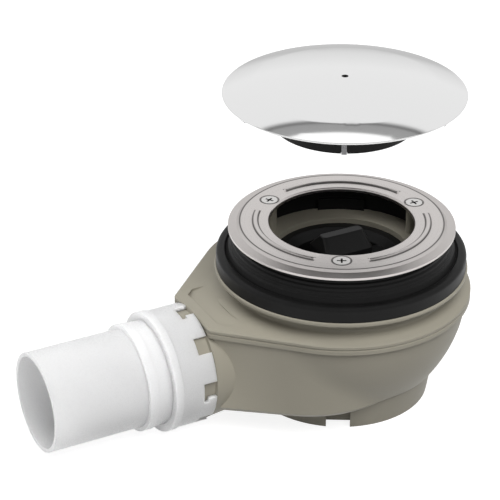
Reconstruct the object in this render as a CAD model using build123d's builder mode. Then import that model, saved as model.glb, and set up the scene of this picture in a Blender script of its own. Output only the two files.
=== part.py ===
"""Shower trap for a shower tray with a 90 mm hole, with its cover lifted off.

Z is up on the drain's axis, the outlet runs along -X, and the foot ring stands on Z = 0.
Sizes are in millimetres.
"""

from build123d import *
from math import acos, atan2, cos, degrees, hypot, radians, sin, sqrt
import os

# Heights of the body, each from the one below it
floor_height = 14.0
bowl_depth = 42.2
flange_thickness = 2.4
shoulder_rise = 3.2
neck_height = 5.9
rim_thickness = 2.3
ledge_height = 6.5
sleeve_height = 15.3

# Plan of the bowl and of the flange above it
bowl_radius = 63.9
body_offset = 6.2
bowl_draw_depth = 15.2
flange_overhang = 2.0
flange_nose_length = 15.4
flange_half_width = 20.8
flange_corner_radius = 2.5
flange_bevel = 0.7
lip_thickness = 2.5
seam_chamfer = 0.5
front_setback = 1.5
front_half_width = 16.6
front_floor_half_width = 23.0
front_corner_radius = 4.0
channel_offset = 18.0
channel_swell_width = 0.8
floor_chamfer = 2.5
wall = 2.5

# Upper shell
rim_setback = 2.1
rim_overhang = 6.4
rim_round_radius = 0.8
neck_round_radius = 1.5
collar_setback = 5.4
seat_setback = 2.2
seat_depth = 3.8
seat_width = 2.2
bore_length = 13.0
field_border_width = 6.4
field_length = 11.0
field_depth = 1.8
plug_depth = 2.0
fit_clearance = 0.3
post_diameter = 7.6
post_clearance = 0.5

# Sump cup and foot ring of the lower shell
foot_setback = 0.4
foot_draft_width = 2.4
foot_gap = 2.0
foot_notch_width = 12.0
foot_notch_gap = 0.6
foot_notch_count = 3
sump_clearance = 1.0
water_seal_height = 30.0

# Outlet spigot and the connector pushed over it
pipe_diameter = 50.0
pipe_wall = 2.0
pipe_length = 48.8
mouth_chamfer = 0.8
connector_gap = 0.9
collar_length = 22.5
collar_step_height = 3.4
collar_wall = 2.2
sleeve_length = 12.0
sleeve_step_height = 1.6
bead_width = 4.6
bead_height = 0.6
bead_round_radius = 0.4
notch_count = 8
notch_width = 8.6
notch_depth = 7.0
hook_width = 2.6
hook_reach = 2.2
outlet_clearance = 0.2
spigot_length = 19.0
spigot_wall = 3.4
spigot_clearance = 0.3
spigot_flare_height = 1.6
spigot_flare_length = 0.5
spigot_gap = 0.3
trough_length = 12.0

# Seals
seal_gap = 0.1
groove_depth = 1.9
groove_side_gap = 0.2

# Trap insert
insert_rim_clearance = 0.4
insert_rim_thickness = 1.2
insert_wall = 1.9
insert_clearance = 0.4
dip_setback = 3.5
dip_gap = 7.5
bridge_width = 14.0
bridge_thickness = 4.0
bridge_depth = 3.2
grip_length = 23.0
grip_width = 5.0
grip_base_length = 27.0
grip_base_width = 19.0
grip_base_height = 9.5
grip_taper_height = 7.5
grip_corner_radius = 2.0
grip_round_radius = 0.8

# Tray gasket
gasket_setback = 0.8
gasket_sleeve_wall = 5.4
gasket_top_width = 3.0
gasket_relief_width = 1.4
gasket_tab_width = 24.0
gasket_tab_thickness = 2.2
gasket_tab_height = 6.0
cone_setback = 6.1
lip_height = 8.1
lip_round_radius = 2.4
lip_groove_depth = 1.0
lip_groove_width = 0.9
cone_rib_count = 7
cone_rib_height = 0.45

# Clamp ring and its screws
ring_hole_margin = 6.0
ring_sheet_thickness = 1.2
ring_curl_radius = 1.0
ring_plateau_width = 4.9
ring_step_height = 1.1
ring_step_radius = 0.8
ring_lip_width = 5.4
ring_lip_drop_height = 0.8
arc_offset = 0.8
arc_width = 2.7
arc_height = 0.9
arc_half_angle = 41.0
post_room_gap = 0.4
screw_count = 3
screw_diameter = 4.0
screw_head_diameter = 8.4
screw_length = 14.0
screw_hole_clearance = 0.25
dimple_wall = 0.6
dimple_taper_angle = 30.0
recess_width = 1.0
recess_length = 4.6
recess_depth = 1.2

# Cover, lifted off the ring
cover_lift_height = 66.6
cover_overhang = 2.6
cover_border_width = 14.7
cover_sheet_thickness = 0.9
cover_border_height = 4.0
cover_dome_height = 4.0
cover_swell_height = 0.22
cover_edge_radius = 0.4
cover_hole_diameter = 3.4
bond_gap = 0.2
carrier_setback = 2.5
carrier_thickness = 1.6
carrier_hole_radius = 12.0
cover_foot_setback = 2.2
cover_foot_height = 3.6
cover_foot_width = 7.0
cover_foot_thickness = 3.0
cover_foot_count = 3
cover_collar_clearance = 1.9
cover_collar_wall = 2.4
cover_collar_depth = 17.0
cover_rib_width = 2.6
cover_rib_depth = 1.2
cover_rib_overhang = 0.6
cover_rib_clearance = 0.2

# Heights worked out from the sizes above
seam_height = floor_height + bowl_depth
lip_underside = seam_height - lip_thickness
flange_top = seam_height + flange_thickness
shoulder_height = flange_top + shoulder_rise
rim_underside = shoulder_height + neck_height
rim_top = rim_underside + rim_thickness
ledge_top = rim_top + ledge_height
gasket_top = ledge_top + sleeve_height
ring_top = gasket_top + ring_sheet_thickness
seat_height = ledge_top - seat_depth
bore_bottom = seat_height - bore_length
sump_floor = sump_clearance + wall
dip_end = sump_floor + dip_gap
weir_height = dip_end + water_seal_height
cover_rim_height = ring_top + cover_foot_height + cover_lift_height

# Radii worked out from the sizes above, from the bowl inwards
flange_radius = bowl_radius + flange_overhang
flange_reach = flange_radius + flange_nose_length
front_reach = flange_reach - front_setback
bowl_floor_radius = bowl_radius - bowl_draw_depth
foot_top_radius = bowl_floor_radius - foot_setback
foot_radius = foot_top_radius - foot_draft_width
sump_radius = foot_radius - wall - foot_gap
rim_radius = flange_radius - rim_setback
neck_radius = rim_radius - rim_overhang
gasket_radius = rim_radius - gasket_setback
collar_radius = neck_radius - collar_setback
gasket_inner_radius = collar_radius - gasket_sleeve_wall
screw_circle_radius = gasket_inner_radius - post_room_gap - post_diameter / 2
ring_hole_radius = screw_circle_radius - ring_hole_margin
seat_radius = ring_hole_radius - seat_setback
bore_radius = seat_radius - seat_width
ring_plateau_radius = gasket_inner_radius + ring_plateau_width
ring_radius = ring_plateau_radius + ring_lip_width
screw_angle = 360 / screw_count

# Outlet sizes worked out from the pipe
pipe_radius = pipe_diameter / 2
sleeve_radius = pipe_radius + sleeve_step_height
collar_outer_radius = sleeve_radius + collar_step_height
connector_bore = collar_outer_radius - collar_wall
spigot_radius = connector_bore - spigot_clearance
spigot_bore = spigot_radius - spigot_wall
outlet_height = collar_outer_radius + bead_height + outlet_clearance
connector_start = flange_reach + connector_gap
connector_collar_end = connector_start + collar_length
connector_sleeve_end = connector_collar_end + sleeve_length
connector_end = connector_sleeve_end + pipe_length
spigot_end = connector_start + spigot_length

outlet_profile = Plane(origin=(0, body_offset, outlet_height), x_dir=(-1, 0, 0), z_dir=(0, 1, 0))
outlet_axis = Axis((0, body_offset, outlet_height), (-1, 0, 0))
body_plane = Plane(origin=(0, body_offset, 0), x_dir=(1, 0, 0), z_dir=(0, -1, 0))


def outlet_face(distance):
    """Plane across the outlet at a distance from the drain's axis, facing outwards."""
    return Plane(origin=(-distance, body_offset, outlet_height), x_dir=(0, -1, 0), z_dir=(-1, 0, 0))


def radial_plane(angle):
    """Upright plane through the drain's axis at an angle in degrees."""
    x, y = cos(radians(angle)), sin(radians(angle))
    return Plane(origin=(0, 0, 0), x_dir=(x, y, 0), z_dir=(y, -x, 0))


def tangent_angle(from_x, from_radius, to_x, to_y, to_radius):
    """Angle of the normal of the outer tangent between two circles, from one on the X axis."""
    run, rise = to_x - from_x, to_y
    span = hypot(run, rise)
    return degrees(atan2(rise, run) - acos((from_radius - to_radius) / span))


def on_circle(centre, radius, angle):
    """Point of a circle at an angle in degrees."""
    return (centre[0] + radius * cos(radians(angle)), centre[1] + radius * sin(radians(angle)))


def flange_outline():
    """Plan of the flange: a disc drawn out to a flat-fronted corner at the outlet, alike on both sides."""
    corner = (-flange_reach + flange_corner_radius, body_offset - flange_half_width + flange_corner_radius)
    turn = -tangent_angle(0, flange_radius, corner[0], -corner[1], flange_corner_radius)
    with BuildLine() as outline:
        Line((flange_radius, body_offset), (flange_radius, 0))
        CenterArc((0, 0), flange_radius, 0, turn)
        Line(on_circle((0, 0), flange_radius, turn), on_circle(corner, flange_corner_radius, turn))
        CenterArc(corner, flange_corner_radius, turn, -180 - turn)
        Line((-flange_reach, corner[1]), (-flange_reach, body_offset))
        mirror(about=body_plane)
    return outline.edges()


front_centre_x = -front_reach + front_corner_radius
front_side = front_half_width - body_offset
front_turn = tangent_angle(0, bowl_radius, front_centre_x, front_side, front_corner_radius)
channel_radius = bowl_radius + channel_offset * cos(radians(front_turn)) + channel_swell_width


def bowl_outline(height, inset=0.0):
    """Plan of the bowl at a height: its back draws in towards the floor, its channel stays wide."""
    depth = (seam_height - height) / bowl_depth
    back = bowl_radius - bowl_draw_depth * depth**2
    half_width = front_half_width - (front_half_width - front_floor_half_width) * depth**2
    channel = (-channel_offset, 0)
    corner = (front_centre_x, body_offset - half_width)
    first = -tangent_angle(0, back, channel[0], 0, channel_radius)
    second = -tangent_angle(channel[0], channel_radius, corner[0], -corner[1], front_corner_radius)
    back -= inset
    middle = channel_radius - inset
    nose = front_corner_radius - inset
    with BuildLine() as outline:
        Line((back, body_offset), (back, 0))
        CenterArc((0, 0), back, 0, first)
        Line(on_circle((0, 0), back, first), on_circle(channel, middle, first))
        CenterArc(channel, middle, first, second - first)
        Line(on_circle(channel, middle, second), on_circle(corner, nose, second))
        CenterArc(corner, nose, second, -180 - second)
        Line((corner[0] - nose, corner[1]), (corner[0] - nose, body_offset))
        mirror(about=body_plane)
    return outline.edges()


def bowl_heights(lowest):
    """Heights of the bowl's sections from its floor up to the seam."""
    return [lowest + (seam_height - lowest) * step / 4 for step in range(5)]


# Lower shell: bowl and channel, sump cup, foot ring and outlet spigot in one moulding
outlet_cord = connector_bore - spigot_radius + groove_depth - 2 * seal_gap
outlet_groove = outlet_cord + 2 * groove_side_gap
outlet_groove_middle = spigot_end - 2 * outlet_groove

trough_start = front_reach - trough_length
spigot_start = flange_reach + spigot_gap
sump_inner_radius = sump_radius - wall

with BuildPart() as outlet_spigot:
    with BuildSketch(outlet_profile):
        Polygon(
            (trough_start - wall, 0),
            (spigot_end, 0),
            (spigot_end, spigot_radius),
            (spigot_start + spigot_flare_length, spigot_radius),
            (spigot_start, spigot_radius + spigot_flare_height),
            (trough_start - wall, spigot_radius),
            align=None,
        )
    revolve(axis=outlet_axis)
    with BuildSketch(Plane.XY.offset(lip_underside)):
        with Locations((-spigot_start, 0)):
            Rectangle(spigot_start, 4 * spigot_radius, align=(Align.MIN, Align.CENTER))
    extrude(amount=2 * spigot_radius, mode=Mode.SUBTRACT)

with BuildPart() as lower_shell:
    for height in bowl_heights(floor_height):
        with BuildSketch(Plane.XY.offset(height)):
            make_face(bowl_outline(height))
    loft()
    chamfer(lower_shell.faces().sort_by(Axis.Z)[0].edges(), floor_chamfer)
    with BuildSketch(Plane.XY.offset(lip_underside)):
        make_face(flange_outline())
    extrude(amount=lip_thickness)
    chamfer(lower_shell.faces().sort_by(Axis.Z)[-1].edges(), seam_chamfer)
    add(outlet_spigot.part)
    with BuildSketch(Plane.XZ):
        Polygon(
            (foot_radius - wall, 0),
            (foot_radius, 0),
            (foot_top_radius, floor_height + wall / 2),
            (foot_top_radius - wall, floor_height + wall / 2),
            align=None,
        )
    revolve(axis=Axis.Z)
    for height in bowl_heights(floor_height + wall):
        with BuildSketch(Plane.XY.offset(height)):
            make_face(bowl_outline(height, inset=wall))
    loft(mode=Mode.SUBTRACT)
    with BuildSketch(outlet_face(trough_start)):
        Circle(spigot_bore)
        with Locations((0, lip_underside - outlet_height)):
            Rectangle(4 * spigot_bore, 4 * spigot_bore, align=(Align.CENTER, Align.MAX), mode=Mode.INTERSECT)
    extrude(amount=spigot_end - trough_start, mode=Mode.SUBTRACT)
    with BuildSketch(outlet_face(spigot_start + wall)):
        Circle(spigot_bore)
    extrude(amount=spigot_length, mode=Mode.SUBTRACT)
    with BuildSketch(Plane.XY.offset(sump_clearance)):
        Circle(sump_radius)
    extrude(amount=weir_height - sump_clearance)
    with BuildSketch(Plane.XY.offset(sump_floor)):
        Circle(sump_inner_radius)
    extrude(amount=weir_height - sump_floor, mode=Mode.SUBTRACT)
    with BuildSketch(Plane.XY):
        with PolarLocations(foot_radius, foot_notch_count):
            Rectangle(4 * wall, foot_notch_width)
    extrude(amount=floor_height - foot_notch_gap, mode=Mode.SUBTRACT)
    with BuildSketch(outlet_profile):
        with Locations((outlet_groove_middle, spigot_radius)):
            Rectangle(outlet_groove, 2 * groove_depth)
    revolve(axis=outlet_axis, mode=Mode.SUBTRACT)

# Upper shell: flange with its recessed field, shoulder, neck, rim, ledge, insert seat and screw posts
shoulder_foot = flange_radius - flange_bevel
shoulder_slope = shoulder_rise / (shoulder_foot - neck_radius)
field_height = flange_top - field_depth
field_start = flange_reach - field_border_width
skin = wall * sqrt(1 + shoulder_slope**2)
inner_neck = neck_radius - wall
inner_collar = collar_radius - wall
skirt_radius = bowl_radius - 2 * wall - fit_clearance
dimple_depth = (screw_head_diameter - screw_diameter) / 2 + dimple_wall
post_top = ring_top - dimple_depth - post_clearance


def shoulder_at(radius):
    """Height of the sloped shoulder at a radius."""
    return flange_top + shoulder_slope * (shoulder_foot - radius)


# Space of the recessed field: it lies inside the flange's border and its floor rises towards the shoulder
with BuildPart() as field_space:
    with BuildSketch(Plane.XY.offset(field_height)):
        make_face(flange_outline())
        offset(amount=-field_border_width, kind=Kind.INTERSECTION, mode=Mode.REPLACE)
    extrude(amount=2 * field_depth)
    with BuildSketch(body_plane):
        Polygon(
            (-field_start, field_height),
            (-field_start + field_length, flange_top),
            (-field_start, flange_top),
            align=None,
        )
    extrude(amount=flange_half_width, both=True, mode=Mode.INTERSECT)

with BuildPart() as upper_shell:
    with BuildSketch(Plane.XY.offset(seam_height)):
        make_face(flange_outline())
    extrude(amount=flange_thickness)
    chamfer(upper_shell.faces().sort_by(Axis.Z)[0].edges(), seam_chamfer)
    chamfer(upper_shell.faces().sort_by(Axis.Z)[-1].edges(), flange_bevel)
    with BuildSketch(Plane.XY.offset(seam_height - plug_depth)):
        make_face(bowl_outline(seam_height, inset=wall + fit_clearance))
    extrude(amount=plug_depth)
    with BuildSketch(Plane.XZ) as crown:
        Polygon(
            (0, seam_height + seam_chamfer),
            (flange_radius - seam_chamfer, seam_height + seam_chamfer),
            (shoulder_foot, flange_top),
            (neck_radius, shoulder_height),
            (neck_radius, rim_underside),
            (rim_radius, rim_underside),
            (rim_radius, rim_top),
            (collar_radius, rim_top),
            (collar_radius, ledge_top),
            (0, ledge_top),
            align=None,
        )
        fillet(crown.vertices().filter_by_position(Axis.X, rim_radius, rim_radius), rim_round_radius)
        fillet(crown.vertices().filter_by_position(Axis.X, neck_radius, neck_radius), neck_round_radius)
    revolve(axis=Axis.Z)
    add(field_space.part, mode=Mode.SUBTRACT)
    with BuildSketch(Plane.XZ):
        Polygon(
            (0, seam_height - plug_depth),
            (skirt_radius, seam_height - plug_depth),
            (skirt_radius, shoulder_at(skirt_radius) - skin),
            (inner_neck, shoulder_at(inner_neck) - skin),
            (inner_neck, rim_top - wall),
            (inner_collar, rim_top - wall),
            (inner_collar, ledge_top - wall),
            (seat_radius + wall, ledge_top - wall),
            (seat_radius + wall, seat_height - wall),
            (bore_radius + wall, seat_height - wall),
            (bore_radius + wall, bore_bottom),
            (0, bore_bottom),
            align=None,
        )
    revolve(axis=Axis.Z, mode=Mode.SUBTRACT)
    with BuildSketch(Plane.XY.offset(ledge_top)):
        with PolarLocations(screw_circle_radius, screw_count):
            Circle(post_diameter / 2)
    extrude(amount=post_top - ledge_top)
    with BuildSketch(Plane.XY.offset(bore_bottom)):
        Circle(bore_radius)
    extrude(amount=bore_length, mode=Mode.SUBTRACT)
    with BuildSketch(Plane.XY.offset(seat_height)):
        Circle(seat_radius)
    extrude(amount=seat_depth, mode=Mode.SUBTRACT)
    with BuildSketch(Plane.XY.offset(post_top)):
        with PolarLocations(screw_circle_radius, screw_count):
            Circle(screw_diameter / 2 + screw_hole_clearance)
    extrude(amount=ledge_top - post_top, mode=Mode.SUBTRACT)

# Trap insert: rim, sealing land with its groove, dip tube, bridge and grip
land_radius = bore_radius - insert_clearance
insert_rim_radius = seat_radius - insert_rim_clearance
dip_radius = bore_radius - dip_setback
dip_bore = dip_radius - insert_wall
insert_cord = insert_clearance + groove_depth - 2 * seal_gap
insert_groove = insert_cord + 2 * groove_side_gap
insert_groove_middle = seat_height - bore_length / 2
bridge_top = seat_height - bridge_depth

with BuildPart() as trap_insert:
    with BuildSketch(Plane.XZ):
        Polygon(
            (dip_bore, dip_end),
            (dip_radius, dip_end),
            (dip_radius, bore_bottom - land_radius + dip_radius),
            (land_radius, bore_bottom),
            (land_radius, seat_height),
            (insert_rim_radius, seat_height),
            (insert_rim_radius, seat_height + insert_rim_thickness),
            (land_radius - insert_wall, seat_height + insert_rim_thickness),
            (dip_bore, bridge_top),
            align=None,
        )
        with Locations((land_radius, insert_groove_middle)):
            Rectangle(2 * groove_depth, insert_groove, mode=Mode.SUBTRACT)
    revolve(axis=Axis.Z)
    with BuildSketch(Plane.XY.offset(bridge_top)):
        Rectangle(2 * dip_bore + insert_wall, bridge_width)
    extrude(amount=-bridge_thickness)
    with BuildSketch(Plane.XY.offset(bridge_top)) as grip_base:
        RectangleRounded(grip_base_length, grip_base_width, grip_corner_radius)
    extrude(amount=grip_base_height)
    extrude(grip_base.sketch, amount=-bridge_thickness)
    with BuildSketch(Plane.XY.offset(bridge_top + grip_base_height)):
        RectangleRounded(grip_base_length, grip_base_width, grip_corner_radius)
    with BuildSketch(Plane.XY.offset(bridge_top + grip_base_height + grip_taper_height)):
        RectangleRounded(grip_length, grip_width, grip_corner_radius)
    loft(ruled=True)
    fillet(trap_insert.faces().sort_by(Axis.Z)[-1].edges(), grip_round_radius)

# O-ring of the insert
with BuildPart() as insert_seal:
    with BuildSketch(Plane.XZ):
        with Locations((bore_radius - seal_gap - insert_cord / 2, insert_groove_middle)):
            Circle(insert_cord / 2)
    revolve(axis=Axis.Z)

# Outlet connector: castellated collar, two beads and a plain pipe end
sleeve_bore = sleeve_radius - collar_wall
collar_bead_radius = collar_outer_radius + bead_height
sleeve_bead_radius = sleeve_radius + bead_height

with BuildPart() as outlet_connector:
    with BuildSketch(outlet_profile) as connector_wall:
        Polygon(
            (connector_start, connector_bore),
            (connector_start, collar_outer_radius),
            (connector_collar_end - bead_width, collar_outer_radius),
            (connector_collar_end - bead_width, collar_bead_radius),
            (connector_collar_end, collar_bead_radius),
            (connector_collar_end, sleeve_radius),
            (connector_sleeve_end - bead_width, sleeve_radius),
            (connector_sleeve_end - bead_width, sleeve_bead_radius),
            (connector_sleeve_end, sleeve_bead_radius),
            (connector_sleeve_end, pipe_radius),
            (connector_end, pipe_radius),
            (connector_end, pipe_radius - pipe_wall),
            (connector_sleeve_end - bead_width, pipe_radius - pipe_wall),
            (connector_collar_end - bead_width / 2, sleeve_bore),
            (connector_collar_end - bead_width / 2, connector_bore),
            align=None,
        )
        corners = connector_wall.vertices()
        fillet(corners.filter_by_position(Axis.Y, collar_bead_radius, collar_bead_radius), bead_round_radius)
        fillet(corners.filter_by_position(Axis.Y, sleeve_bead_radius, sleeve_bead_radius), bead_round_radius)
        chamfer(corners.filter_by_position(Axis.X, connector_end, connector_end), mouth_chamfer)
    revolve(axis=outlet_axis)
    notch_middle = (connector_bore + collar_outer_radius) / 2
    with BuildSketch(outlet_face(connector_start)):
        with PolarLocations(notch_middle, notch_count):
            Rectangle(3 * collar_wall, notch_width)
    extrude(amount=notch_depth, mode=Mode.SUBTRACT)
    with BuildSketch(outlet_face(connector_start + notch_depth - hook_width)):
        with PolarLocations(notch_middle, notch_count // 2):
            with Locations((0, -notch_width / 2)):
                Rectangle(3 * collar_wall, 2 * hook_reach)
    extrude(amount=hook_width, mode=Mode.SUBTRACT)

# O-ring of the outlet
with BuildPart() as outlet_seal:
    with BuildSketch(outlet_profile):
        with Locations((outlet_groove_middle, connector_bore - seal_gap - outlet_cord / 2)):
            Circle(outlet_cord / 2)
    revolve(axis=outlet_axis)

# Tray gasket: sleeve on the ledge, ribbed cone and rounded lip on the rim
lip_top = rim_top + lip_height
cone_foot_radius = gasket_radius - cone_setback
cone_foot_height = lip_top + lip_groove_depth
cone_top_radius = gasket_inner_radius + gasket_top_width
cone_run = cone_foot_radius - cone_top_radius
cone_drop = gasket_top - cone_foot_height
cone_length = hypot(cone_run, cone_drop)
rib_offset = (cone_rib_height * cone_drop / cone_length, cone_rib_height * cone_run / cone_length)
lip_start = cone_foot_radius + lip_groove_width


def cone_point(share, offset):
    """Point of the ribbed cone at a share of its length, lifted off the cone by an offset."""
    return (
        cone_top_radius + cone_run * share + rib_offset[0] * offset,
        gasket_top - cone_drop * share + rib_offset[1] * offset,
    )


with BuildPart() as tray_gasket:
    with BuildSketch(Plane.XZ):
        with BuildLine():
            steps = 2 * cone_rib_count
            cone = [cone_point(step / steps, step % 2) for step in range(steps + 1)]
            Polyline(
                (gasket_radius, lip_top - lip_round_radius),
                (gasket_radius, rim_top),
                (collar_radius, rim_top),
                (collar_radius, ledge_top),
                (gasket_inner_radius, ledge_top),
                (gasket_inner_radius, gasket_top - gasket_relief_width),
                (gasket_inner_radius + gasket_relief_width, gasket_top),
                *cone,
                (lip_start, lip_top - lip_groove_depth),
                (lip_start + lip_groove_depth, lip_top),
                (gasket_radius - lip_round_radius, lip_top),
            )
            CenterArc((gasket_radius - lip_round_radius, lip_top - lip_round_radius), lip_round_radius, 0, 90)
        make_face()
    revolve(axis=Axis.Z)
    with BuildSketch(Plane.XY.offset(ledge_top)):
        Circle(gasket_inner_radius + gasket_tab_thickness)
        Circle(gasket_inner_radius - gasket_tab_thickness, mode=Mode.SUBTRACT)
        with PolarLocations(gasket_inner_radius, screw_count, start_angle=screw_angle / 2):
            Rectangle(4 * gasket_tab_thickness, gasket_tab_width, mode=Mode.INTERSECT)
    extrude(amount=gasket_tab_height)

# Clamp ring: pressed sheet with a curled hole, three beads, three dimples and a stepped lip
ring_lip_start = ring_plateau_radius + ring_step_height
ring_lip_edge = ring_top - ring_step_height - ring_lip_drop_height
arc_radius = screw_circle_radius + arc_offset


def arc_section(base):
    """Round-topped section of a pressed arc that stands on a height."""
    inner = (arc_radius - arc_width / 2, base)
    outer = (arc_radius + arc_width / 2, base)
    with BuildLine() as section:
        ThreePointArc(inner, (arc_radius, base + arc_height), outer)
        Line(outer, inner)
    return section.edges()


with BuildPart() as clamp_ring:
    with BuildSketch(Plane.XZ) as pressed_sheet:
        Polygon(
            (ring_hole_radius, gasket_top - ring_curl_radius),
            (ring_hole_radius, ring_top),
            (ring_plateau_radius, ring_top),
            (ring_lip_start, ring_top - ring_step_height),
            (ring_radius, ring_lip_edge),
            (ring_radius, ring_lip_edge - ring_sheet_thickness),
            (ring_lip_start, gasket_top - ring_step_height),
            (ring_plateau_radius, gasket_top),
            (ring_hole_radius + ring_sheet_thickness, gasket_top),
            (ring_hole_radius + ring_sheet_thickness, gasket_top - ring_curl_radius),
            align=None,
        )
        bends = pressed_sheet.vertices()
        curl = bends.filter_by_position(Axis.X, ring_hole_radius, ring_hole_radius).sort_by(Axis.Y)[-1]
        fillet(curl, ring_curl_radius)
        fillet(bends.filter_by_position(Axis.X, ring_plateau_radius, ring_lip_start), ring_step_radius)
    revolve(axis=Axis.Z)
    with BuildSketch(Plane.XY.offset(gasket_top)):
        with PolarLocations(screw_circle_radius, screw_count):
            Circle(screw_head_diameter / 2 + dimple_wall)
    extrude(amount=-(dimple_depth - ring_sheet_thickness), taper=dimple_taper_angle)
    with Locations(Plane.XY.offset(ring_top)):
        with PolarLocations(screw_circle_radius, screw_count):
            CounterSinkHole(
                screw_diameter / 2 + screw_hole_clearance,
                screw_head_diameter / 2 + screw_hole_clearance,
                depth=dimple_depth,
            )
    for gap in range(screw_count):
        middle = screw_angle * gap + screw_angle / 2
        for base, mode in ((ring_top, Mode.ADD), (gasket_top, Mode.SUBTRACT)):
            with BuildSketch(radial_plane(middle - arc_half_angle)):
                make_face(arc_section(base))
            revolve(axis=Axis.Z, revolution_arc=2 * arc_half_angle, mode=mode)
            for angle in (middle - arc_half_angle, middle + arc_half_angle):
                with BuildSketch(radial_plane(angle)):
                    make_face(arc_section(base))
                    split(bisect_by=Plane.YZ.offset(arc_radius))
                revolve(axis=Axis((*on_circle((0, 0), arc_radius, angle), 0), (0, 0, 1)), mode=mode)

# Countersunk clamp screws with cross recesses
with BuildPart() as clamp_screws:
    with BuildSketch(Plane.XY.offset(ring_top)):
        with PolarLocations(screw_circle_radius, screw_count):
            Circle(screw_head_diameter / 2)
    extrude(amount=-(screw_head_diameter - screw_diameter) / 2, taper=45)
    with BuildSketch(Plane.XY.offset(ring_top)):
        with PolarLocations(screw_circle_radius, screw_count):
            Circle(screw_diameter / 2)
    extrude(amount=-screw_length)
    with BuildSketch(Plane.XY.offset(ring_top)):
        with PolarLocations(screw_circle_radius, screw_count):
            Rectangle(recess_length, recess_width)
            Rectangle(recess_width, recess_length)
    extrude(amount=-recess_depth, mode=Mode.SUBTRACT)

# Cover plate: thin domed sheet with a sloped border
cover_radius = ring_radius + cover_overhang
cover_disc_radius = cover_radius - cover_border_width
cover_top = cover_rim_height + cover_border_height + cover_dome_height
dome_radius = (cover_disc_radius**2 + cover_dome_height**2) / (2 * cover_dome_height)


def dome_height(radius, drop):
    """Height of the cover's dome at a radius, or of a parallel face below it."""
    return cover_top - drop - dome_radius + sqrt(dome_radius**2 - radius**2)


def cover_skin(drop):
    """Draw the cover's upper line, or a parallel one below it, from its axis to its rim."""
    middle = cover_disc_radius / 2
    crease = (cover_disc_radius, dome_height(cover_disc_radius, drop))
    rim = (cover_radius, cover_rim_height - drop)
    swell = ((crease[0] + rim[0]) / 2, (crease[1] + rim[1]) / 2 + cover_swell_height)
    ThreePointArc((0, dome_height(0, drop)), (middle, dome_height(middle, drop)), crease)
    ThreePointArc(crease, swell, rim)


with BuildPart() as cover_plate:
    with BuildSketch(Plane.XZ) as cover_section:
        with BuildLine():
            cover_skin(0)
            Line((cover_radius, cover_rim_height), (cover_radius, cover_rim_height - cover_sheet_thickness))
            cover_skin(cover_sheet_thickness)
            Line((0, dome_height(0, cover_sheet_thickness)), (0, cover_top))
        make_face()
        edge = cover_section.vertices().filter_by_position(Axis.X, cover_radius, cover_radius)
        fillet(edge, cover_edge_radius)
    revolve(axis=Axis.Z)
    with BuildSketch(Plane.XY.offset(cover_rim_height)):
        Circle(cover_hole_diameter / 2)
    extrude(amount=2 * (cover_top - cover_rim_height), mode=Mode.SUBTRACT)

# Cover carrier: liner under the sheet with three feet and three ribs
liner_drop = cover_sheet_thickness + bond_gap
liner_underside = liner_drop + carrier_thickness
liner_rim = cover_rim_height - liner_underside
carrier_radius = cover_radius - carrier_setback
cover_foot_radius = carrier_radius - cover_foot_setback
cover_collar_radius = ring_hole_radius - cover_collar_clearance
foot_bottom = cover_rim_height - cover_foot_height
rib_radius = cover_collar_radius - cover_rib_depth / 2
collar_bottom = cover_rim_height - cover_collar_depth
collar_height = dome_height(cover_collar_radius, liner_underside) - bond_gap - collar_bottom

with BuildPart() as cover_carrier:
    with BuildSketch(Plane.XZ):
        with BuildLine():
            cover_skin(liner_drop)
            Line((cover_radius, cover_rim_height - liner_drop), (cover_radius, liner_rim))
            cover_skin(liner_underside)
            Line((0, dome_height(0, liner_underside)), (0, dome_height(0, liner_drop)))
        make_face()
        with Locations((carrier_hole_radius, cover_rim_height)):
            Rectangle(
                carrier_radius - carrier_hole_radius,
                4 * cover_top,
                align=(Align.MIN, Align.CENTER),
                mode=Mode.INTERSECT,
            )
    revolve(axis=Axis.Z)
    with BuildSketch(Plane.XY.offset(foot_bottom)):
        with PolarLocations(cover_foot_radius, cover_foot_count, start_angle=180 / cover_foot_count):
            Rectangle(cover_foot_thickness, cover_foot_width)
    extrude(until=Until.NEXT)
    with BuildSketch(Plane.XY.offset(collar_bottom - cover_rib_overhang)):
        with PolarLocations(rib_radius, cover_foot_count):
            Rectangle(cover_rib_depth, cover_rib_width)
    extrude(until=Until.NEXT)

# Cover collar: ring that drops into the drain's hole, with a slot for each rib
with BuildPart() as cover_collar:
    with BuildSketch(Plane.XY.offset(collar_bottom)):
        Circle(cover_collar_radius)
        Circle(cover_collar_radius - cover_collar_wall, mode=Mode.SUBTRACT)
    extrude(amount=collar_height)
    with BuildSketch(Plane.XY.offset(collar_bottom)):
        with PolarLocations(rib_radius, cover_foot_count):
            Rectangle(cover_rib_depth + 2 * cover_rib_clearance, cover_rib_width + 2 * cover_rib_clearance)
    extrude(amount=collar_height, mode=Mode.SUBTRACT)

parts = {
    "lower_shell": lower_shell,
    "upper_shell": upper_shell,
    "trap_insert": trap_insert,
    "insert_seal": insert_seal,
    "outlet_connector": outlet_connector,
    "outlet_seal": outlet_seal,
    "tray_gasket": tray_gasket,
    "clamp_ring": clamp_ring,
    "clamp_screws": clamp_screws,
    "cover_plate": cover_plate,
    "cover_carrier": cover_carrier,
    "cover_collar": cover_collar,
}

os.makedirs("parts", exist_ok=True)
for name, piece in parts.items():
    piece.part.label = name
    export_step(piece.part, f"parts/{name}.step")
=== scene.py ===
"""Shower trap with its cover lifted off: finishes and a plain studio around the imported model."""

from math import pi, radians

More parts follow.
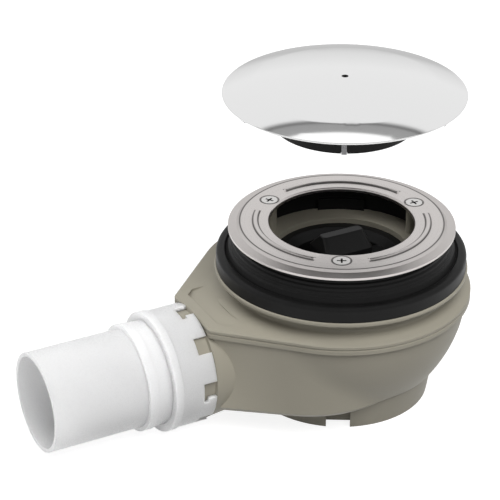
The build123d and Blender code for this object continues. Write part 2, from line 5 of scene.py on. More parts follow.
import bmesh
import bpy
from bpy.props import FloatProperty, FloatVectorProperty, PointerProperty
from mathutils import Euler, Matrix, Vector


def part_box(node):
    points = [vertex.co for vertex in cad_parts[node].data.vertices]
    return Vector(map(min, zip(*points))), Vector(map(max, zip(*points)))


bl_info = {
    "name": "Shower trap",
    "version": (1, 0, 0),
    "blender": (4, 5, 0),
    "location": "View3D > Sidebar > Shower trap",
    "description": "Dresses a shower trap in its finishes and sets up its studio",
    "category": "Object",
}

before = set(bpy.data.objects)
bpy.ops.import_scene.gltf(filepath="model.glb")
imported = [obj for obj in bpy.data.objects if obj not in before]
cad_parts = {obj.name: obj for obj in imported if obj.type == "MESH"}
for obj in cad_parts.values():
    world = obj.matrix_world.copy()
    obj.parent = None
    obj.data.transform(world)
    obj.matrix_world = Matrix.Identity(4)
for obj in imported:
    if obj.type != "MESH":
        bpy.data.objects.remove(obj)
MM = 0.001
# Depth of the bump on plastics, smooth plastic, brushed steel, turned screws and plating
GRAIN_DEPTH = 0.015 * MM
SMOOTH_GRAIN_DEPTH = 0.006 * MM
BRUSHED_DEPTH = 0.003 * MM
TURNED_DEPTH = 0.002 * MM
PLATED_DEPTH = 0.0002 * MM
# Softened edge of the thin cover, and the reach of the light inside white plastic
COVER_EDGE = 0.1 * MM
WHITE_GLOW_REACH = 12 * MM
# Roughness that a painted shade line adds to the ring's steel
BEND_DULLNESS = 0.15
# Rays that soften an edge, and the gap that is closed between a node's faces
EDGE_SAMPLES = 6
WELD_GAP = 0.001 * MM
# The ring repeats three times, so an arc's middle and the next screw lie a sixth of a turn apart
SIXTH_OF_TURN = pi / 3
# Grey of the floor's paint, and the glow that makes it paper white to the camera and in reflections
FLOOR_PAINT = 0.38
FLOOR_GLOW = 0.85
FLOOR_SIDES = 96
# Place, point that it faces, size and spread of each lamp
OVERHEAD_LAMP = ((0.0, -0.82, 1.30), (-0.04, 0, 0.06), 1.1, pi)
REAR_LAMP = ((-0.70, 0.95, 1.20), (-0.08, 0, 0.05), 0.9, pi)
SIDE_LAMP = ((-1.10, -0.55, 0.30), (-0.155, 0, 0.03), 0.12, radians(5))
# Grey that the metal mirrors at the horizon and straight above
HORIZON_LEVEL = 0.62
ZENITH_LEVEL = 0.20
# Sine of the height above the horizon and grey level of the panels that the metal mirrors
STUDIO_PANELS = (
    (0.12, 0.85),
    (0.30, 1.0),
    (0.726, 1.0),
    (0.750, 0.20),
    (0.758, 0.20),
    (0.766, 0.40),
    (0.816, 0.42),
    (0.826, 1.35),
    (0.900, 1.35),
    (0.930, 0.20),
)


class TrapFinish(bpy.types.PropertyGroup):
    """Colours of the trap's materials."""

    body: FloatVectorProperty(
        name="Body", description="Moulded plastic of the two shells",
        subtype="COLOR", size=3, min=0, max=1,
        default=(0.305, 0.285, 0.232),
    )
    body_shade: FloatVectorProperty(
        name="Body mottle", description="Darker cast in the shells' plastic",
        subtype="COLOR", size=3, min=0, max=1,
        default=(0.285, 0.266, 0.215),
    )
    rubber: FloatVectorProperty(
        name="Rubber", description="Gasket and O-rings", subtype="COLOR", size=3, min=0, max=1,
        default=(0.0045, 0.0045, 0.0045),
    )
    rubber_bloom: FloatVectorProperty(
        name="Rubber bloom", description="Paler bloom on the rubber",
        subtype="COLOR", size=3, min=0, max=1,
        default=(0.008, 0.008, 0.008),
    )
    black_plastic: FloatVectorProperty(
        name="Black plastic", description="Insert and cover collar",
        subtype="COLOR", size=3, min=0, max=1,
        default=(0.006, 0.006, 0.006),
    )
    black_sheen: FloatVectorProperty(
        name="Black plastic sheen", description="Paler cast in the black plastic",
        subtype="COLOR", size=3,
        min=0, max=1, default=(0.010, 0.010, 0.010),
    )
    white_plastic: FloatVectorProperty(
        name="White plastic", description="Outlet connector", subtype="COLOR", size=3, min=0, max=1,
        default=(0.91, 0.91, 0.918),
    )
    white_shade: FloatVectorProperty(
        name="White plastic mottle", description="Cooler cast in the connector",
        subtype="COLOR", size=3,
        min=0, max=1, default=(0.88, 0.88, 0.892),
    )
    carrier: FloatVectorProperty(
        name="Carrier", description="Light grey plastic under the cover",
        subtype="COLOR", size=3, min=0, max=1,
        default=(0.62, 0.62, 0.63),
    )
    carrier_shade: FloatVectorProperty(
        name="Carrier mottle", description="Darker cast in the carrier",
        subtype="COLOR", size=3, min=0, max=1,
        default=(0.56, 0.56, 0.57),
    )
    steel: FloatVectorProperty(
        name="Steel", description="Clamp ring",
        subtype="COLOR", size=3, min=0, max=1, default=(0.60, 0.57, 0.555),
    )
    # Painted shade: dark colour painted along the clamp ring's step, arcs and screw dimples, and in the
    # screws' cross recesses
    painted_shade: FloatVectorProperty(
        name="Painted shade line",
        description="Painted shade along the ring's bends and in the screws' recesses",
        subtype="COLOR", size=3, min=0, max=1, default=(0.11, 0.104, 0.10),
    )
    screw_steel: FloatVectorProperty(
        name="Screw steel", description="Clamp screws", subtype="COLOR", size=3, min=0, max=1,
        default=(0.64, 0.63, 0.62),
    )
    chrome: FloatVectorProperty(
        name="Chrome", description="Plated cover",
        subtype="COLOR", size=3, min=0, max=1, default=(0.78, 0.78, 0.78),
    )


class TrapDetail(bpy.types.PropertyGroup):
    """Sizes of the softened edges and of the painted shade lines on the clamp ring."""

    edge_round: FloatProperty(
        name="Edge round", description="Rounding seen on moulded edges",
        default=0.35 * MM, unit="LENGTH",
    )
    # Painted shade lines on the clamp ring: their width, and the step, arcs and screw dimples that they
    # follow
    painted_shade_width: FloatProperty(
        name="Painted shade line", description="Reach of the painted shade line at a bend of the ring",
        default=0.70 * MM, unit="LENGTH",
    )
    ring_step_radius: FloatProperty(
        name="Ring step", description="Radius of the line at the ring's step",
        default=51.0 * MM, unit="LENGTH",
    )
    lip_dullness: FloatProperty(
        name="Lip dullness", description="Roughness that the ring's lip has above the plateau's",
        default=0.14, min=0,
    )
    ring_arc_radius: FloatProperty(
        name="Ring arcs", description="Radius of the ring's pressed arcs",
        default=43.2 * MM, unit="LENGTH",
    )
    ring_arc_width: FloatProperty(
        name="Arc width", description="Width of a pressed arc", default=2.7 * MM, unit="LENGTH",
    )
    ring_arc_half_angle: FloatProperty(
        name="Arc angle", description="Half of the angle that a pressed arc covers",
        subtype="ANGLE",
        default=radians(42.5),
    )
    screw_circle_radius: FloatProperty(
        name="Screw circle", description="Radius of the circle of clamp screws",
        default=42.4 * MM, unit="LENGTH",
    )
    dimple_radius: FloatProperty(
        name="Dimple", description="Radius of the dimple round a screw's head",
        default=4.75 * MM, unit="LENGTH",
    )


class TrapStage(bpy.types.PropertyGroup):
    """Camera, lamps and floor."""

    camera_place: FloatVectorProperty(
        name="Camera", description="Place of the camera", subtype="TRANSLATION", size=3,
        default=(-0.4676, -0.7887, 0.5673),
    )
    camera_pitch: FloatProperty(
        name="Pitch", description="Angle of the camera below the horizon",
        subtype="ANGLE", default=radians(28.21),
    )
    camera_heading: FloatProperty(
        name="Heading", description="Turn of the camera about Z from +Y",
        subtype="ANGLE", default=radians(-27.8),
    )
    lens: FloatProperty(
        name="Lens", description="Focal length", subtype="DISTANCE_CAMERA", default=148.6,
    )
    sensor: FloatProperty(
        name="Sensor", description="Width of the sensor", subtype="DISTANCE_CAMERA", default=36.0,
    )
    floor_radius: FloatProperty(
        name="Floor radius", description="Radius of the round floor", default=0.7, unit="LENGTH",
    )
    sky: FloatProperty(
        name="Sky", description="Strength of the light from all round", default=0.16, min=0,
    )
    key_power: FloatProperty(
        name="Key", description="Power of the overhead lamp", subtype="POWER", default=24.0, min=0,
    )
    fill_power: FloatProperty(
        name="Fill", description="Power of the rear lamp", subtype="POWER", default=12.5, min=0,
    )
    side_power: FloatProperty(
        name="Side", description="Power of the narrow lamp on the outlet pipe",
        subtype="POWER", default=0.012, min=0,
    )


def settings():
    """The scene's finish, detail and stage settings."""
    scene = bpy.context.scene
    return scene.trap_finish, scene.trap_detail, scene.trap_stage


def add_socket(group, name, direction, kind, default=None):
    """Add a named socket to a node group."""
    socket = group.interface.new_socket(name=name, in_out=direction, socket_type=kind)
    if default is not None:
        socket.default_value = default


def new_group(name, inputs, outputs):
    """Start a shader node group with named inputs and outputs."""
    group = bpy.data.node_groups.new(name, "ShaderNodeTree")
    for socket_name, kind, default in inputs:
        add_socket(group, socket_name, "INPUT", kind, default)
    for socket_name, kind in outputs:
        add_socket(group, socket_name, "OUTPUT", kind)
    return group, group.nodes.new("NodeGroupInput"), group.nodes.new("NodeGroupOutput")


def math_node(tree, operation, first, second):
    """Add a Math node whose inputs are links or numbers, and return its output."""
    node = tree.nodes.new("ShaderNodeMath")
    node.operation = operation
    for socket, value in zip(node.inputs, (first, second)):
        if isinstance(value, (int, float)):
            socket.default_value = value
        else:
            tree.links.new(value, socket)
    return node.outputs[0]


def colour_mix(tree, factor, first, second):
    """Add a node that mixes two linked colours by a linked factor, and return its output."""
    node = tree.nodes.new("ShaderNodeMix")
    node.data_type = "RGBA"
    for name, value in (("Factor", factor), ("A", first), ("B", second)):
        tree.links.new(value, node.inputs[name])
    return node.outputs["Result"]


def moulded_skin():
    """Node group: a moulded surface with a soft mottle and a fine spark-eroded grain."""
    name = "moulded skin"
    if name in bpy.data.node_groups:
        return bpy.data.node_groups[name]
    group, start, end = new_group(
        name,
        [
            ("Colour", "NodeSocketColor", (1, 1, 1, 1)),
            ("Mottle", "NodeSocketColor", (0.9, 0.9, 0.9, 1)),
            ("Mottle scale", "NodeSocketFloat", 40.0),
            ("Grain scale", "NodeSocketFloat", 2500.0),
            ("Smooth", "NodeSocketFloat", 0.35),
            ("Rough", "NodeSocketFloat", 0.5),
        ],
        [("Colour", "NodeSocketColor"), ("Roughness", "NodeSocketFloat"), ("Height", "NodeSocketFloat")],
    )
    place = group.nodes.new("ShaderNodeTexCoord")
    mottle = group.nodes.new("ShaderNodeTexNoise")
    mottle.inputs["Detail"].default_value = 3.0
    grain = group.nodes.new("ShaderNodeTexNoise")
    grain.inputs["Detail"].default_value = 2.0
    gloss = group.nodes.new("ShaderNodeMapRange")
    links = group.links
    for texture, scale in ((mottle, "Mottle scale"), (grain, "Grain scale")):
        links.new(place.outputs["Object"], texture.inputs["Vector"])
        links.new(start.outputs[scale], texture.inputs["Scale"])
    blend = colour_mix(group, mottle.outputs["Fac"], start.outputs["Colour"], start.outputs["Mottle"])
    links.new(grain.outputs["Fac"], gloss.inputs["Value"])
    links.new(start.outputs["Smooth"], gloss.inputs["To Min"])
    links.new(start.outputs["Rough"], gloss.inputs["To Max"])
    links.new(blend, end.inputs["Colour"])
    links.new(gloss.outputs["Result"], end.inputs["Roughness"])
    links.new(grain.outputs["Fac"], end.inputs["Height"])
    return group


def turned_skin():
    """Node group: metal with fine lines that run round the drain's axis."""
    name = "turned skin"
    if name in bpy.data.node_groups:
        return bpy.data.node_groups[name]
    group, start, end = new_group(
        name,
        [
            ("Colour", "NodeSocketColor", (1, 1, 1, 1)),
            ("Lines", "NodeSocketFloat", 9000.0),
            ("Depth", "NodeSocketFloat", 0.06),
            ("Smooth", "NodeSocketFloat", 0.2),
            ("Rough", "NodeSocketFloat", 0.3),
        ],
        [("Colour", "NodeSocketColor"), ("Roughness", "NodeSocketFloat"), ("Height", "NodeSocketFloat")],
    )
    place = group.nodes.new("ShaderNodeTexCoord")
    flat = group.nodes.new("ShaderNodeVectorMath")
    flat.operation = "MULTIPLY"
    flat.inputs[1].default_value = (1, 1, 0)
    reach = group.nodes.new("ShaderNodeVectorMath")
    reach.operation = "LENGTH"
    lines = group.nodes.new("ShaderNodeTexNoise")
    lines.noise_dimensions = "1D"
    lines.inputs["Detail"].default_value = 3.0
    shade = group.nodes.new("ShaderNodeHueSaturation")
    gloss = group.nodes.new("ShaderNodeMapRange")
    links = group.links
    links.new(place.outputs["Object"], flat.inputs[0])
    links.new(flat.outputs["Vector"], reach.inputs[0])
    links.new(reach.outputs["Value"], lines.inputs["W"])
    links.new(start.outputs["Lines"], lines.inputs["Scale"])
    swing = math_node(group, "SUBTRACT", lines.outputs["Fac"], 0.5)
    swing = math_node(group, "MULTIPLY", swing, start.outputs["Depth"])
    links.new(math_node(group, "ADD", swing, 1.0), shade.inputs["Value"])
    links.new(start.outputs["Colour"], shade.inputs["Color"])
    links.new(lines.outputs["Fac"], gloss.inputs["Value"])
    links.new(start.outputs["Smooth"], gloss.inputs["To Min"])
    links.new(start.outputs["Rough"], gloss.inputs["To Max"])
    links.new(shade.outputs["Color"], end.inputs["Colour"])
    links.new(gloss.outputs["Result"], end.inputs["Roughness"])
    links.new(lines.outputs["Fac"], end.inputs["Height"])
    return group


def soft_line(tree, distance, centre, width):
    """Nodes for a line with soft sides: 1 where a distance meets its centre, 0 beyond its width."""
    fade = tree.nodes.new("ShaderNodeMapRange")
    fade.interpolation_type = "SMOOTHSTEP"
    fade.inputs["To Min"].default_value = 1.0
    fade.inputs["To Max"].default_value = 0.0
    offset = math_node(tree, "ABSOLUTE", math_node(tree, "SUBTRACT", distance, centre), 0.0)
    tree.links.new(offset, fade.inputs["Value"])
    tree.links.new(width, fade.inputs["From Max"])
    return fade.outputs["Result"]


def distance_node(tree, first, second):
    """Nodes for the distance from the origin of a point given by two coordinates."""
    squares = [math_node(tree, "MULTIPLY", value, value) for value in (first, second)]
    return math_node(tree, "SQRT", math_node(tree, "ADD", *squares), 0.0)


def painted_shade_lines():
    """Node group: painted shade lines along the clamp ring's bends, at its step, arcs and screw dimples,
    where the steel is also rougher.
    """
    group, start, end = new_group(
        "pressed lines",
        [
            ("Colour", "NodeSocketColor", (1, 1, 1, 1)),
            ("Roughness", "NodeSocketFloat", 0.3),
            ("Line", "NodeSocketColor", (0.2, 0.2, 0.2, 1)),
            ("Width", "NodeSocketFloat", 0.0005),
            ("Step radius", "NodeSocketFloat", 0.052),
            ("Arc inner radius", "NodeSocketFloat", 0.042),
            ("Arc outer radius", "NodeSocketFloat", 0.0445),
            ("Arc half angle", "NodeSocketFloat", 0.7),
            ("Screw circle radius", "NodeSocketFloat", 0.0424),
            ("Dimple radius", "NodeSocketFloat", 0.0047),
            ("Lip dullness", "NodeSocketFloat", 0.3),
        ],
        [("Colour", "NodeSocketColor"), ("Roughness", "NodeSocketFloat")],
    )
    place = group.nodes.new("ShaderNodeTexCoord")
    parts = group.nodes.new("ShaderNodeSeparateXYZ")
    group.links.new(place.outputs["Object"], parts.inputs[0])
    x, y = parts.outputs["X"], parts.outputs["Y"]
    reach = distance_node(group, x, y)
    turn = math_node(group, "ADD", math_node(group, "ARCTAN2", y, x), pi)
    from_arc = math_node(group, "PINGPONG", turn, SIXTH_OF_TURN)
    from_screw = math_node(group, "SUBTRACT", SIXTH_OF_TURN, from_arc)
    width = start.outputs["Width"]
    inner = soft_line(group, reach, start.outputs["Arc inner radius"], width)
    outer = soft_line(group, reach, start.outputs["Arc outer radius"], width)
    within = math_node(group, "LESS_THAN", from_arc, start.outputs["Arc half angle"])
    arcs = math_node(group, "MULTIPLY", math_node(group, "MAXIMUM", inner, outer), within)
    step = soft_line(group, reach, start.outputs["Step radius"], width)
    along = math_node(group, "MULTIPLY", reach, math_node(group, "COSINE", from_screw, 0.0))
    along = math_node(group, "SUBTRACT", along, start.outputs["Screw circle radius"])
    across = math_node(group, "MULTIPLY", reach, math_node(group, "SINE", from_screw, 0.0))
    away = distance_node(group, along, across)
    dimples = soft_line(group, away, start.outputs["Dimple radius"], width)
    # Mask of the painted shade lines at the ring's step, arcs and screw dimples
    lines = math_node(group, "MAXIMUM", math_node(group, "MAXIMUM", arcs, step), dimples)
    shade = colour_mix(group, lines, start.outputs["Colour"], start.outputs["Line"])
    group.links.new(shade, end.inputs["Colour"])
    lip = group.nodes.new("ShaderNodeMapRange")
    group.links.new(reach, lip.inputs["Value"])
    group.links.new(start.outputs["Step radius"], lip.inputs["From Min"])
    edge = math_node(group, "ADD", start.outputs["Step radius"], width)
    group.links.new(edge, lip.inputs["From Max"])
    lip_dull = math_node(group, "MULTIPLY", lip.outputs["Result"], start.outputs["Lip dullness"])
    line_dull = math_node(group, "MULTIPLY", lines, BEND_DULLNESS)
    dull = math_node(group, "ADD", start.outputs["Roughness"], line_dull)
    group.links.new(math_node(group, "ADD", dull, lip_dull), end.inputs["Roughness"])
    return group


def sunk_shade():
    """Node group: painted shade that darkens a colour below a height, as in a screw's recess."""
    group, start, end = new_group(
        "sunk shade",
        [
            ("Colour", "NodeSocketColor", (1, 1, 1, 1)),
            ("Sunk", "NodeSocketColor", (0.05, 0.05, 0.05, 1)),
            ("Top", "NodeSocketFloat", 0.0),
            ("Depth", "NodeSocketFloat", 0.001),
        ],
        [("Colour", "NodeSocketColor")],
    )
    place = group.nodes.new("ShaderNodeTexCoord")
    parts = group.nodes.new("ShaderNodeSeparateXYZ")
    group.links.new(place.outputs["Object"], parts.inputs[0])
    drop = math_node(group, "SUBTRACT", start.outputs["Top"], parts.outputs["Z"])
    depth = group.nodes.new("ShaderNodeMapRange")
    group.links.new(drop, depth.inputs["Value"])
    group.links.new(start.outputs["Depth"], depth.inputs["From Max"])
    shade = colour_mix(group, depth.outputs["Result"], start.outputs["Colour"], start.outputs["Sunk"])
    group.links.new(shade, end.inputs["Colour"])
    return group


def place_group(tree, group, values):
    """Place a node group in a material with its own values."""
    node = tree.nodes.new("ShaderNodeGroup")
    node.node_tree = group
    for key, value in values.items():
        node.inputs[key].default_value = value
    return node


def add_layer(material, skin, values, names):
    """Put a group between a material's surface and the named inputs of its shader."""
    tree = material.node_tree
    shader = tree.nodes["Principled BSDF"]
    layer = place_group(tree, skin, values)
    for name, target in names.items():
        source = shader.inputs[target].links[0].from_socket
        tree.links.new(source, layer.inputs[name])
        tree.links.new(layer.outputs[name], shader.inputs[target])


def dressed_material(name, skin, values, bump_depth, edge_round):
    """A Principled material with softened edges that takes colour, roughness and bump from a skin."""
    material = bpy.data.materials.new(name)
    material.use_nodes = True
    tree = material.node_tree
    shader = tree.nodes["Principled BSDF"]
    surface = place_group(tree, skin, values)
    edges = tree.nodes.new("ShaderNodeBevel")
    edges.samples = EDGE_SAMPLES
    edges.inputs["Radius"].default_value = edge_round
    bump = tree.nodes.new("ShaderNodeBump")
    bump.inputs["Distance"].default_value = bump_depth
    bump.inputs["Strength"].default_value = 1.0
    links = tree.links
    links.new(surface.outputs["Colour"], shader.inputs["Base Color"])
    links.new(surface.outputs["Roughness"], shader.inputs["Roughness"])
    links.new(surface.outputs["Height"], bump.inputs["Height"])
    links.new(edges.outputs["Normal"], bump.inputs["Normal"])
    links.new(bump.outputs["Normal"], shader.inputs["Normal"])
    return material, shader


def plastic(
    name, colour, mottle, smooth, rough, grain_scale=2500.0, bump_depth=GRAIN_DEPTH, mottle_scale=40.0
):
    """A moulded plastic."""
    detail = settings()[1]
    values = {
        "Colour": (*colour, 1),
        "Mottle": (*mottle, 1),
        "Mottle scale": mottle_scale,
        "Grain scale": grain_scale,
        "Smooth": smooth,
        "Rough": rough,
    }
    return dressed_material(name, moulded_skin(), values, bump_depth, detail.edge_round)


def metal(name, colour, lines, depth, smooth, rough, bump_depth, edge_round):
    """A metal with lines that run round the drain's axis."""
    values = {"Colour": (*colour, 1), "Lines": lines, "Depth": depth, "Smooth": smooth, "Rough": rough}
    material, shader = dressed_material(name, turned_skin(), values, bump_depth, edge_round)
    shader.inputs["Metallic"].default_value = 1.0
    return material


def body_plastic():
    """Beige-grey moulded plastic of the shells."""
    finish = settings()[0]
    material, shader = plastic("body plastic", finish.body, finish.body_shade, smooth=0.42, rough=0.58)
    shader.inputs["Specular IOR Level"].default_value = 0.4
    return material


def gasket_rubber():
    """Matte black rubber with a faint bloom."""
    finish = settings()[0]
    material, shader = plastic(
        "gasket rubber", finish.rubber, finish.rubber_bloom, smooth=0.36, rough=0.52,
        grain_scale=1800.0, mottle_scale=90.0,
    )
    shader.inputs["Specular IOR Level"].default_value = 0.15
    return material


def black_plastic():
    """Satin black plastic of the insert and the cover's collar."""
    finish = settings()[0]
    material, shader = plastic(
        "black plastic", finish.black_plastic, finish.black_sheen, smooth=0.28, rough=0.42,
    )
    shader.inputs["Specular IOR Level"].default_value = 0.14
    return material


def white_plastic():
    """Smooth white plastic of the outlet connector, a little translucent."""
    finish = settings()[0]
    material, shader = plastic(
        "white plastic", finish.white_plastic, finish.white_shade, smooth=0.22, rough=0.34,
        bump_depth=SMOOTH_GRAIN_DEPTH,
    )
    shader.inputs["Subsurface Weight"].default_value = 1.0
    shader.inputs["Subsurface Radius"].default_value = (WHITE_GLOW_REACH,) * 3
    shader.inputs["Subsurface Scale"].default_value = 1.0
    return material


def carrier_plastic():
    """Light grey plastic of the cover's carrier."""
    finish = settings()[0]
    return plastic("carrier plastic", finish.carrier, finish.carrier_shade, smooth=0.4, rough=0.55)[0]


def ring_steel():
    """Satin stainless steel of the clamp ring."""
    finish, detail = settings()[:2]
    material = metal(
        "ring steel", finish.steel, lines=7000.0, depth=0.10, smooth=0.24, rough=0.34,
        bump_depth=BRUSHED_DEPTH, edge_round=detail.edge_round / 3,
    )
    values = {
        "Line": (*finish.painted_shade, 1),
        "Width": detail.painted_shade_width,
        "Step radius": detail.ring_step_radius,
        "Arc inner radius": detail.ring_arc_radius - detail.ring_arc_width / 2,
        "Arc outer radius": detail.ring_arc_radius + detail.ring_arc_width / 2,
        "Arc half angle": detail.ring_arc_half_angle,
        "Screw circle radius": detail.screw_circle_radius,
        "Dimple radius": detail.dimple_radius,
        "Lip dullness": detail.lip_dullness,
    }
    # Painted shade lines at the ring's step, arcs and screw dimples
    add_layer(material, painted_shade_lines(), values, {"Colour": "Base Color", "Roughness": "Roughness"})
    return material


def screw_steel():
    """Bright stainless steel of the clamp screws."""
    finish, detail = settings()[:2]
    material = metal(
        "screw steel", finish.screw_steel, lines=4000.0, depth=0.06, smooth=0.18, rough=0.28,
        bump_depth=TURNED_DEPTH, edge_round=detail.edge_round / 2,
    )
    # Painted shade in the screws' cross recesses
    values = {
        "Sunk": (*finish.painted_shade, 1),
        "Top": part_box("clamp_screws")[1].z - detail.edge_round,
        "Depth": detail.edge_round,
    }
    add_layer(material, sunk_shade(), values, {"Colour": "Base Color"})
    return material


def cover_chrome():
    """Plated metal of the cover, polished but not a mirror."""
    finish = settings()[0]
    return metal(
        "cover chrome", finish.chrome, lines=2500.0, depth=0.02, smooth=0.05, rough=0.08,
        bump_depth=PLATED_DEPTH, edge_round=COVER_EDGE,
    )


def dress_node(name, material, smooth_angle=30.0):
    """Give a CAD node its material and shade it smooth up to an angle."""
    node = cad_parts[name]
    node.data.materials.clear()
    node.data.materials.append(material)
    for polygon in node.data.polygons:
        polygon.use_smooth = True
        polygon.material_index = 0
    weld = node.modifiers.new("weld", "WELD")
    weld.merge_threshold = WELD_GAP
    split = node.modifiers.new("sharp edges", "EDGE_SPLIT")
    split.split_angle = radians(smooth_angle)
    normals = node.modifiers.new("even normals", "WEIGHTED_NORMAL")
    normals.keep_sharp = True
    return node


class SHOWER_TRAP_OT_body(bpy.types.Operator):
    """Dress the two shells of the body"""

    bl_idname = "shower_trap.body"
    bl_label = "Body shells"

    def execute(self, context):
        material = body_plastic()
        dress_node("lower_shell", material)
        dress_node("upper_shell", material)
        return {"FINISHED"}


class SHOWER_TRAP_OT_connector(bpy.types.Operator):
    """Dress the outlet connector"""

    bl_idname = "shower_trap.connector"
    bl_label = "Outlet connector"

    def execute(self, context):
        dress_node("outlet_connector", white_plastic())
        return {"FINISHED"}


class SHOWER_TRAP_OT_seals(bpy.types.Operator):
    """Dress the tray gasket and the two O-rings"""

    bl_idname = "shower_trap.seals"
    bl_label = "Gasket and O-rings"

    def execute(self, context):
        material = gasket_rubber()
        for name in ("tray_gasket", "insert_seal", "outlet_seal"):
            dress_node(name, material)
        return {"FINISHED"}


class SHOWER_TRAP_OT_insert(bpy.types.Operator):
    """Dress the lift-out insert and the cover's collar"""

    bl_idname = "shower_trap.insert"
    bl_label = "Insert and cover collar"

    def execute(self, context):
        material = black_plastic()
        dress_node("trap_insert", material)
        dress_node("cover_collar", material)
        return {"FINISHED"}


class SHOWER_TRAP_OT_ring(bpy.types.Operator):
    """Dress the clamp ring and its screws"""

    bl_idname = "shower_trap.ring"
    bl_label = "Clamp ring and screws"

    def execute(self, context):
        dress_node("clamp_ring", ring_steel())
        dress_node("clamp_screws", screw_steel())
        return {"FINISHED"}


class SHOWER_TRAP_OT_cover(bpy.types.Operator):
    """Dress the plated cover and its carrier"""

    bl_idname = "shower_trap.cover"
    bl_label = "Cover"

    def execute(self, context):
        dress_node("cover_plate", cover_chrome())
        dress_node("cover_carrier", carrier_plastic())
        return {"FINISHED"}


def floor_material():
    """White floor that the camera and reflections see as paper white, and that keeps a soft shadow."""
    material = bpy.data.materials.new("studio floor")
    material.use_nodes = True
    tree = material.node_tree
    tree.nodes.clear()
    output = tree.nodes.new("ShaderNodeOutputMaterial")
    paint = tree.nodes.new("ShaderNodeBsdfDiffuse")
    paint.inputs["Color"].default_value = (FLOOR_PAINT, FLOOR_PAINT, FLOOR_PAINT, 1)
    glow = tree.nodes.new("ShaderNodeEmission")
    glow.inputs["Color"].default_value = (1, 1, 1, 1)
    both = tree.nodes.new("ShaderNodeAddShader")
    path = tree.nodes.new("ShaderNodeLightPath")
    seen = math_node(tree, "MAXIMUM", path.outputs["Is Camera Ray"], path.outputs["Is Glossy Ray"])
    seen = math_node(tree, "MAXIMUM", seen, path.outputs["Is Transmission Ray"])
    tree.links.new(math_node(tree, "MULTIPLY", seen, FLOOR_GLOW), glow.inputs["Strength"])
    tree.links.new(paint.outputs[0], both.inputs[0])
    tree.links.new(glow.outputs[0], both.inputs[1])
    tree.links.new(both.outputs[0], output.inputs["Surface"])
    return material


def studio_world(strength):
    """White backdrop for the camera, an even sky for the light, and panels for the reflections."""
    world = bpy.data.worlds.new("studio")
    world.use_nodes = True
    tree = world.node_tree
    background = tree.nodes["Background"]
    background.inputs["Color"].default_value = (1, 1, 1, 1)
    path = tree.nodes.new("ShaderNodeLightPath")
    place = tree.nodes.new("ShaderNodeTexCoord")
    height = tree.nodes.new("ShaderNodeSeparateXYZ")
    panels = tree.nodes.new("ShaderNodeValToRGB")
    stops = panels.color_ramp.elements
    stops[0].color = (HORIZON_LEVEL, HORIZON_LEVEL, HORIZON_LEVEL, 1)
    stops[1].color = (ZENITH_LEVEL, ZENITH_LEVEL, ZENITH_LEVEL, 1)
    for position, level in STUDIO_PANELS:
        stops.new(position).color = (level, level, level, 1)
    tree.links.new(place.outputs["Generated"], height.inputs[0])
    tree.links.new(height.outputs["Z"], panels.inputs["Fac"])
    lift = math_node(tree, "SUBTRACT", panels.outputs["Color"], strength)
    lift = math_node(tree, "MULTIPLY", lift, path.outputs["Is Glossy Ray"])
    level = math_node(tree, "ADD", lift, strength)
    seen = math_node(tree, "MAXIMUM", path.outputs["Is Camera Ray"], path.outputs["Is Transmission Ray"])
    tree.links.new(math_node(tree, "MAXIMUM", level, seen), background.inputs["Strength"])
    bpy.context.scene.world = world


def area_lamp(name, place, target, size, spread, power):
    """A square soft lamp that faces a point and leaves the reflections to the studio's panels."""
    data = bpy.data.lights.new(name, "AREA")
    data.size = size
    data.energy = power
    data.spread = spread
    lamp = bpy.data.objects.new(name, data)
    lamp.location = place
    lamp.visible_glossy = False
    lamp.rotation_euler = (Vector(target) - Vector(place)).to_track_quat("-Z", "Y").to_euler()
    bpy.context.scene.collection.objects.link(lamp)


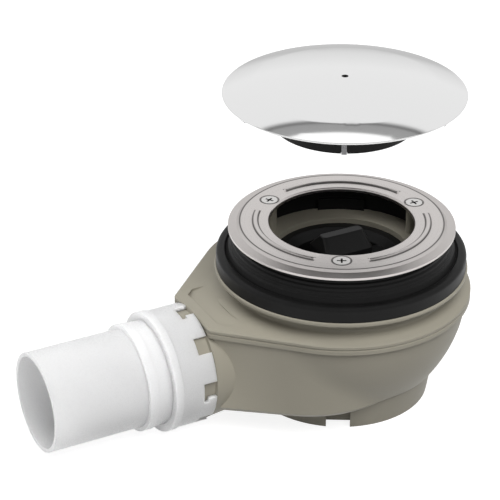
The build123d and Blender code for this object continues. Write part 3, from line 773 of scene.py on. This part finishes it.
class SHOWER_TRAP_OT_stage(bpy.types.Operator):
    """Set up the floor, the light and the camera"""

    bl_idname = "shower_trap.stage"
    bl_label = "Studio"

    def execute(self, context):
        stage = settings()[2]
        mesh_maker = bmesh.new()
        bmesh.ops.create_circle(
            mesh_maker, cap_ends=True, segments=FLOOR_SIDES, radius=stage.floor_radius
        )
        mesh = bpy.data.meshes.new("studio_floor")
        mesh_maker.to_mesh(mesh)
        mesh_maker.free()
        floor = bpy.data.objects.new("studio_floor", mesh)
        mesh.materials.append(floor_material())
        context.scene.collection.objects.link(floor)
        studio_world(stage.sky)
        area_lamp("overhead softbox", *OVERHEAD_LAMP, stage.key_power)
        area_lamp("rear softbox", *REAR_LAMP, stage.fill_power)
        area_lamp("side softbox", *SIDE_LAMP, stage.side_power)
        data = bpy.data.cameras.new("camera")
        data.lens = stage.lens
        data.sensor_width = stage.sensor
        camera = bpy.data.objects.new("camera", data)
        camera.location = stage.camera_place
        camera.rotation_euler = Euler((pi / 2 - stage.camera_pitch, 0, stage.camera_heading))
        context.scene.collection.objects.link(camera)
        context.scene.camera = camera
        context.scene.view_settings.view_transform = "Standard"
        return {"FINISHED"}


class SHOWER_TRAP_PT_tools(bpy.types.Panel):
    """Tools that build the shower trap's picture"""

    bl_idname = "SHOWER_TRAP_PT_tools"
    bl_label = "Shower trap"
    bl_space_type = "VIEW_3D"
    bl_region_type = "UI"
    bl_category = "Shower trap"

    def draw(self, context):
        for operator in OPERATORS:
            self.layout.operator(operator.bl_idname)
        for group in settings():
            box = self.layout.box()
            for name in group.__annotations__:
                box.prop(group, name)


OPERATORS = (
    SHOWER_TRAP_OT_body,
    SHOWER_TRAP_OT_connector,
    SHOWER_TRAP_OT_seals,
    SHOWER_TRAP_OT_insert,
    SHOWER_TRAP_OT_ring,
    SHOWER_TRAP_OT_cover,
    SHOWER_TRAP_OT_stage,
)
CLASSES = (TrapFinish, TrapDetail, TrapStage, *OPERATORS, SHOWER_TRAP_PT_tools)


def register():
    """Register the classes and the scene's settings."""
    for cls in CLASSES:
        bpy.utils.register_class(cls)
    bpy.types.Scene.trap_finish = PointerProperty(type=TrapFinish)
    bpy.types.Scene.trap_detail = PointerProperty(type=TrapDetail)
    bpy.types.Scene.trap_stage = PointerProperty(type=TrapStage)


def unregister():
    """Remove the classes and the scene's settings."""
    for name in ("trap_finish", "trap_detail", "trap_stage"):
        delattr(bpy.types.Scene, name)
    for cls in reversed(CLASSES):
        bpy.utils.unregister_class(cls)


def main():
    """Build every piece and the stage."""
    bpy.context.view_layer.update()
    register()
    bpy.ops.shower_trap.body()
    bpy.ops.shower_trap.connector()
    bpy.ops.shower_trap.seals()
    bpy.ops.shower_trap.insert()
    bpy.ops.shower_trap.ring()
    bpy.ops.shower_trap.cover()
    bpy.ops.shower_trap.stage()


if __name__ == "__main__":
    main()
